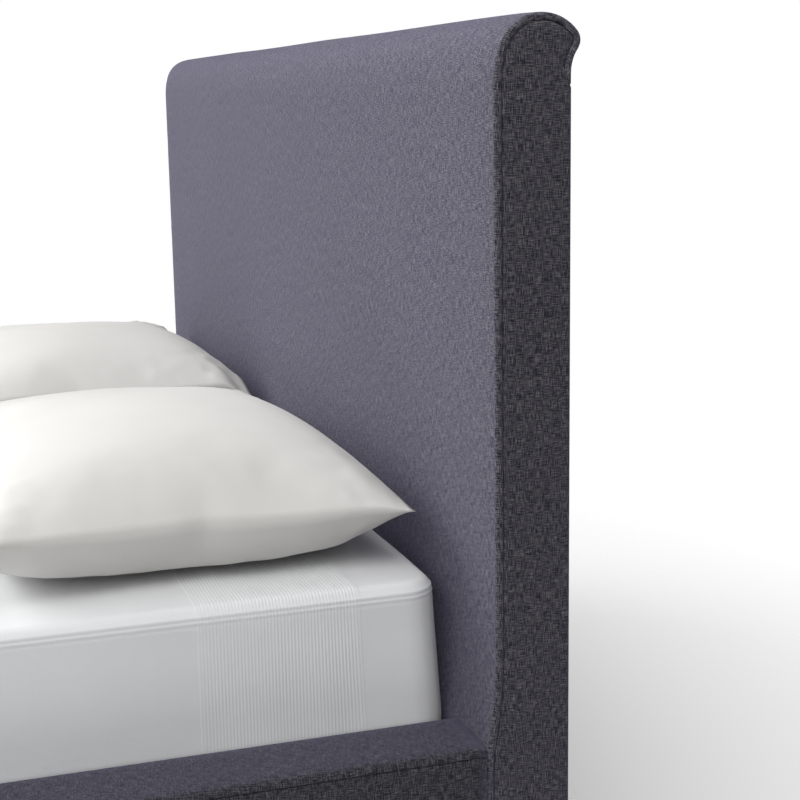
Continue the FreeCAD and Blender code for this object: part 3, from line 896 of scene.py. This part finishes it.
def pillowcase():  # two flat panels sewn together along all four sides
    across, deep = pillow["cut"]
    bm = bmesh.new()
    bmesh.ops.create_cube(bm, size=1)
    bmesh.ops.scale(bm, vec=(across, deep, 0.006), verts=bm.verts)
    sliceAt(bm, 0, steps(-across / 2, across / 2, pillow["cell"]))
    sliceAt(bm, 1, steps(-deep / 2, deep / 2, pillow["cell"]))
    for v in bm.verts:
        if onSeam(v):
            v.co.z = 0
    bmesh.ops.remove_doubles(bm, verts=bm.verts, dist=0.0005)
    crease = bm.edges.layers.float.new("crease_edge")
    for e in bm.edges:
        if onSeam(e.verts[0]) and onSeam(e.verts[1]):
            e[crease] = 1.0
    return bm


def onSeam(v):
    across, deep = pillow["cut"]
    return max(abs(v.co.x) / across, abs(v.co.y) / deep) > 0.4995


def blowUp(bm, seed):  # fills the case with air, and keeps only the shape that it takes
    mesh = bpy.data.meshes.new("case")
    bm.to_mesh(mesh)
    bm.free()
    case = bpy.data.objects.new("case", mesh)
    scene.collection.objects.link(case)
    for v in mesh.vertices:
        v.co.z *= 1 + 0.4 * soften(v.co, 0.2, seed)
    cloth = case.modifiers.new("cloth", "CLOTH")
    settings = cloth.settings
    settings.quality, settings.mass, settings.air_damping = 6, 0.25, 4
    settings.tension_stiffness, settings.compression_stiffness = 20, 20
    settings.shear_stiffness, settings.bending_stiffness = 7, 3.0
    settings.use_pressure = True
    settings.uniform_pressure_force = pillow["pressure"]
    settings.effector_weights.gravity = 0
    cloth.collision_settings.use_collision = False
    cloth.collision_settings.use_self_collision = False
    for number in range(1, pillow["frames"] + 1):
        scene.frame_set(number)
    shaped = bpy.data.meshes.new_from_object(case.evaluated_get(bpy.context.evaluated_depsgraph_get()))
    bpy.data.objects.remove(case)
    scene.frame_set(1)
    bm = bmesh.new()
    bm.from_mesh(shaped)
    bpy.data.meshes.remove(shaped)
    return bm


def layPillow(name, node, turn, seed, flip, plump, lean, droop):
    # plump is how full it is, lean how far its filling has slipped, droop how low its corners hang
    p = pillow
    a, z = low(node), high(node)
    centre = (a + z) / 2
    bm = pillowcase()
    flat = [v.co.copy() for v in bm.verts]
    bm = blowUp(bm, seed)
    crease = bm.edges.layers.float.get("crease_edge")
    seam = {v for e in bm.edges if e[crease] > 0 for v in e.verts}
    filling = [v for v in bm.verts if v not in seam]
    for _ in range(p["smoothing"]):
        bmesh.ops.smooth_vert(bm, verts=filling, factor=0.5,
                              use_axis_x=True, use_axis_y=True, use_axis_z=True)
    reach = [max(abs(v.co[k]) for v in bm.verts) for k in range(3)]
    evenReach = [max(abs(co[k]) for co in flat) for k in range(3)]
    lean *= -1 if flip else 1
    for v, even in zip(bm.verts, flat):  # the blown shape, evened out towards a well filled case
        mix = p["evenness"]
        x = (1 - mix) * v.co.x / reach[0] + mix * even.x / evenReach[0]
        y = (1 - mix) * v.co.y / reach[1] + mix * even.y / evenReach[1]
        full = 1 - abs(even.x / evenReach[0]) ** p["fullness"]
        full = (full * (1 - abs(even.y / evenReach[1]) ** p["fullness"])) ** p["roundness"]
        share = (1 - mix) * v.co.z / reach[2] + mix * math.copysign(full, v.co.z) * (v not in seam)
        v.co.x, v.co.y = x * reach[0], y * reach[1]
        if share > 0:
            height = p["crown"] * share * (plump + lean * math.tanh(p["slump"] * x))
        else:
            height = -p["seamHeight"] * math.tanh(-share * p["belly"]) / math.tanh(p["belly"])
        edge = smooth((max(abs(x), abs(y)) - 0.72) / 0.25)
        corner = smooth((min(abs(x), abs(y)) - 0.55) / 0.35)
        gather = p["gather"] * (edge + 2.6 * corner) * (v not in seam)
        spot = (v.co.x, v.co.y, 0)
        height += gather * (soften(spot, 0.020, seed) + 0.7 * soften(spot, 0.045, seed))
        point = smooth((min(abs(x), abs(y)) - 0.82) / 0.18)
        lip = p["seamLip"] * (v in seam) - p["seamLip"]
        v.co.x *= (p["length"] / 2 + lip) / reach[0] * (1 + p["cornerReach"] * point)
        v.co.y *= (p["depth"] / 2 + lip) / reach[1] * (1 + 1.5 * p["cornerReach"] * point)
        v.co.z = height + p["uneven"] * soften((x, y, 0), 0.7, seed + 3) - droop * point
    if flip:
        bmesh.ops.rotate(bm, matrix=Matrix.Rotation(math.pi, 3, "Z"), verts=bm.verts)
    bmesh.ops.rotate(bm, matrix=Matrix.Rotation(math.radians(turn), 3, "Z"), verts=bm.verts)
    lowest = min(v.co.z for v in bm.verts)
    bmesh.ops.translate(bm, vec=(centre.x, centre.y, a.z - lowest), verts=bm.verts)
    bmesh.ops.recalc_face_normals(bm, faces=bm.faces)
    piece = addPiece(name, bm, node, "pillow_cotton", [node])
    finer = piece.modifiers.new("finer", "SUBSURF")
    finer.levels = finer.render_levels = 1


layPillow("pillowRightCase", "pillow_right", 1.0, 1.0, False, 1.0, 0.36, 0.008)
layPillow("pillowLeftCase", "pillow_left", 2.0, 4.0, True, 0.74, 0.32, 0.024)
print("pillows made")


def cadFinish(node):  # for the pieces that keep their shape
    if "foam" in node:
        return finishes["foam"]
    if node.endswith(("front_panel", "formers")):
        return boardPly
    if node.startswith(("inner_board", "outer_board", "top_board")):
        return railPly
    if node.endswith("crossbars"):
        return pineAlong[0]
    if node.startswith(("slat_ledger", "centre_beam")):
        return pineAlong[1]
    if node.startswith("support_leg"):
        return pineAlong[2]
    if node.startswith("levelling_glide"):
        return finishes["black_plastic"]
    if node.startswith("foot_"):
        return finishes["dark_wood"]
    if node in ("rail_brackets", "beam_hangers"):
        return finishes["black_steel"]
    if node in ("frame_bolts", "slat_screws"):
        return finishes["zinc"]
    if node.startswith("slat_"):
        return slatPine
    return None


for node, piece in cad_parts.items():
    finish = cadFinish(node)
    if finish:
        for materialSlot in piece.material_slots:
            materialSlot.material = finish
print("frame finished")


# the floor, the sky and the lights
studio = {
    "floorSize": 16.0, "floorTone": 0.80, "floorFade": (0.165, 0.29), "floorGlow": 0.16, "sky": 0.30,
    "lights": {  # place, size, watts, aim
        "keyLight": ((-2.6, -3.4, 3.4), 3.0, 285, (0, 0.3, 0.5)),
        "lowLight": ((-2.4, -2.2, 0.85), 0.7, 26, (0.2, 0.9, 0.8)),
        "fillLight": ((2.5, -3.0, 3.2), 3.0, 66, (0, 0.3, 0.5)),
        "topLight": ((0.3, 0.2, 4.2), 3.4, 30, (0, 0.3, 0.5)),
        "rightLight": ((2.0, 0.9, 2.6), 1.4, 21, (0.9, 0.9, 0.7)),
        "sideLight": ((4.5, -1.0, 2.0), 3.0, 36, (0, 0.3, 0.5)),
    },
}


def studioFloor():  # a pale floor that fades out into the white all round
    bm = bmesh.new()
    bmesh.ops.create_grid(bm, x_segments=1, y_segments=1, size=studio["floorSize"] / 2)
    mesh = bpy.data.meshes.new("floor")
    bm.to_mesh(mesh)
    bm.free()
    floor = bpy.data.objects.new("floor", mesh)
    scene.collection.objects.link(floor)
    floor.location.z = cadLow.z - 0.0005
    f = Finish("paleFloor", Specular_IOR_Level=0.1, Emission_Color=(1, 1, 1),
               Emission_Strength=studio["floorGlow"])
    speck = f.cloud(f.stretched(f.place(), (0.9, 0.9, 0.9)), 3.0)
    middle = f.make("TexGradient", {"gradient_type": "SPHERICAL"},
                    {"Vector": f.stretched(f.place(), (studio["floorSize"] / 2,) * 3)})
    inner, outer = studio["floorFade"]
    f.put(f.shader, {"Alpha": f.ramp(middle, [(1 - outer, 0), (1 - inner, 1)])})
    tone = studio["floorTone"]
    mesh.materials.append(f.finishWith(f.blend(speck, (tone,) * 3, (tone * 0.98,) * 3), 0.9))


def softLight(name, place, size, power, aim):  # a square panel, turned towards its aim
    data = bpy.data.lights.new(name, "AREA")
    data.size, data.energy = size, power
    light = bpy.data.objects.new(name, data)
    scene.collection.objects.link(light)
    light.location = place
    light.rotation_euler = (Vector(aim) - Vector(place)).to_track_quat("-Z", "Y").to_euler()
    light.visible_camera = False


def studioSky():
    world = bpy.data.worlds.new("studio")
    scene.world = world
    world.use_nodes = True
    tree = world.node_tree
    tree.nodes.clear()
    sky = tree.nodes.new("ShaderNodeBackground")
    seen = tree.nodes.new("ShaderNodeBackground")
    path = tree.nodes.new("ShaderNodeLightPath")
    mix = tree.nodes.new("ShaderNodeMixShader")
    out = tree.nodes.new("ShaderNodeOutputWorld")
    place = tree.nodes.new("ShaderNodeTexCoord")
    split = tree.nodes.new("ShaderNodeSeparateXYZ")
    above = tree.nodes.new("ShaderNodeMapRange")  # the sky is darker below the floor
    above.inputs["From Min"].default_value, above.inputs["From Max"].default_value = -0.02, 0.02
    above.inputs["To Min"].default_value, above.inputs["To Max"].default_value = 0.25, 1.0
    tree.links.new(place.outputs["Generated"], split.inputs[0])
    tree.links.new(split.outputs["Z"], above.inputs[0])
    tree.links.new(above.outputs[0], sky.inputs["Color"])
    sky.inputs["Strength"].default_value = studio["sky"]
    seen.inputs["Color"].default_value = (1, 1, 1, 1)
    tree.links.new(path.outputs["Is Camera Ray"], mix.inputs[0])
    tree.links.new(sky.outputs[0], mix.inputs[1])
    tree.links.new(seen.outputs[0], mix.inputs[2])
    tree.links.new(mix.outputs[0], out.inputs[0])


shot = {"place": (2.2107, 0.505, 0.9702), "lens": 70.87, "yaw": 72.01, "pitch": 10.97, "roll": 0.95}


def studioCamera():
    data = bpy.data.cameras.new("camera")
    data.lens, data.sensor_width = shot["lens"], 36
    data.clip_start, data.clip_end = 0.05, 200
    camera = bpy.data.objects.new("camera", data)
    scene.collection.objects.link(camera)
    turn = Matrix.Rotation(math.radians(shot["yaw"]), 4, "Z")
    tilt = Matrix.Rotation(math.radians(90 - shot["pitch"]), 4, "X")
    roll = Matrix.Rotation(math.radians(-shot["roll"]), 4, "Z")
    camera.matrix_world = Matrix.Translation(shot["place"]) @ turn @ tilt @ roll
    scene.camera = camera


studioFloor()
studioSky()
for name, (place, size, power, aim) in studio["lights"].items():
    softLight(name, place, size, power, aim)
studioCamera()
scene.view_settings.view_transform = "Standard"
print("studio set")
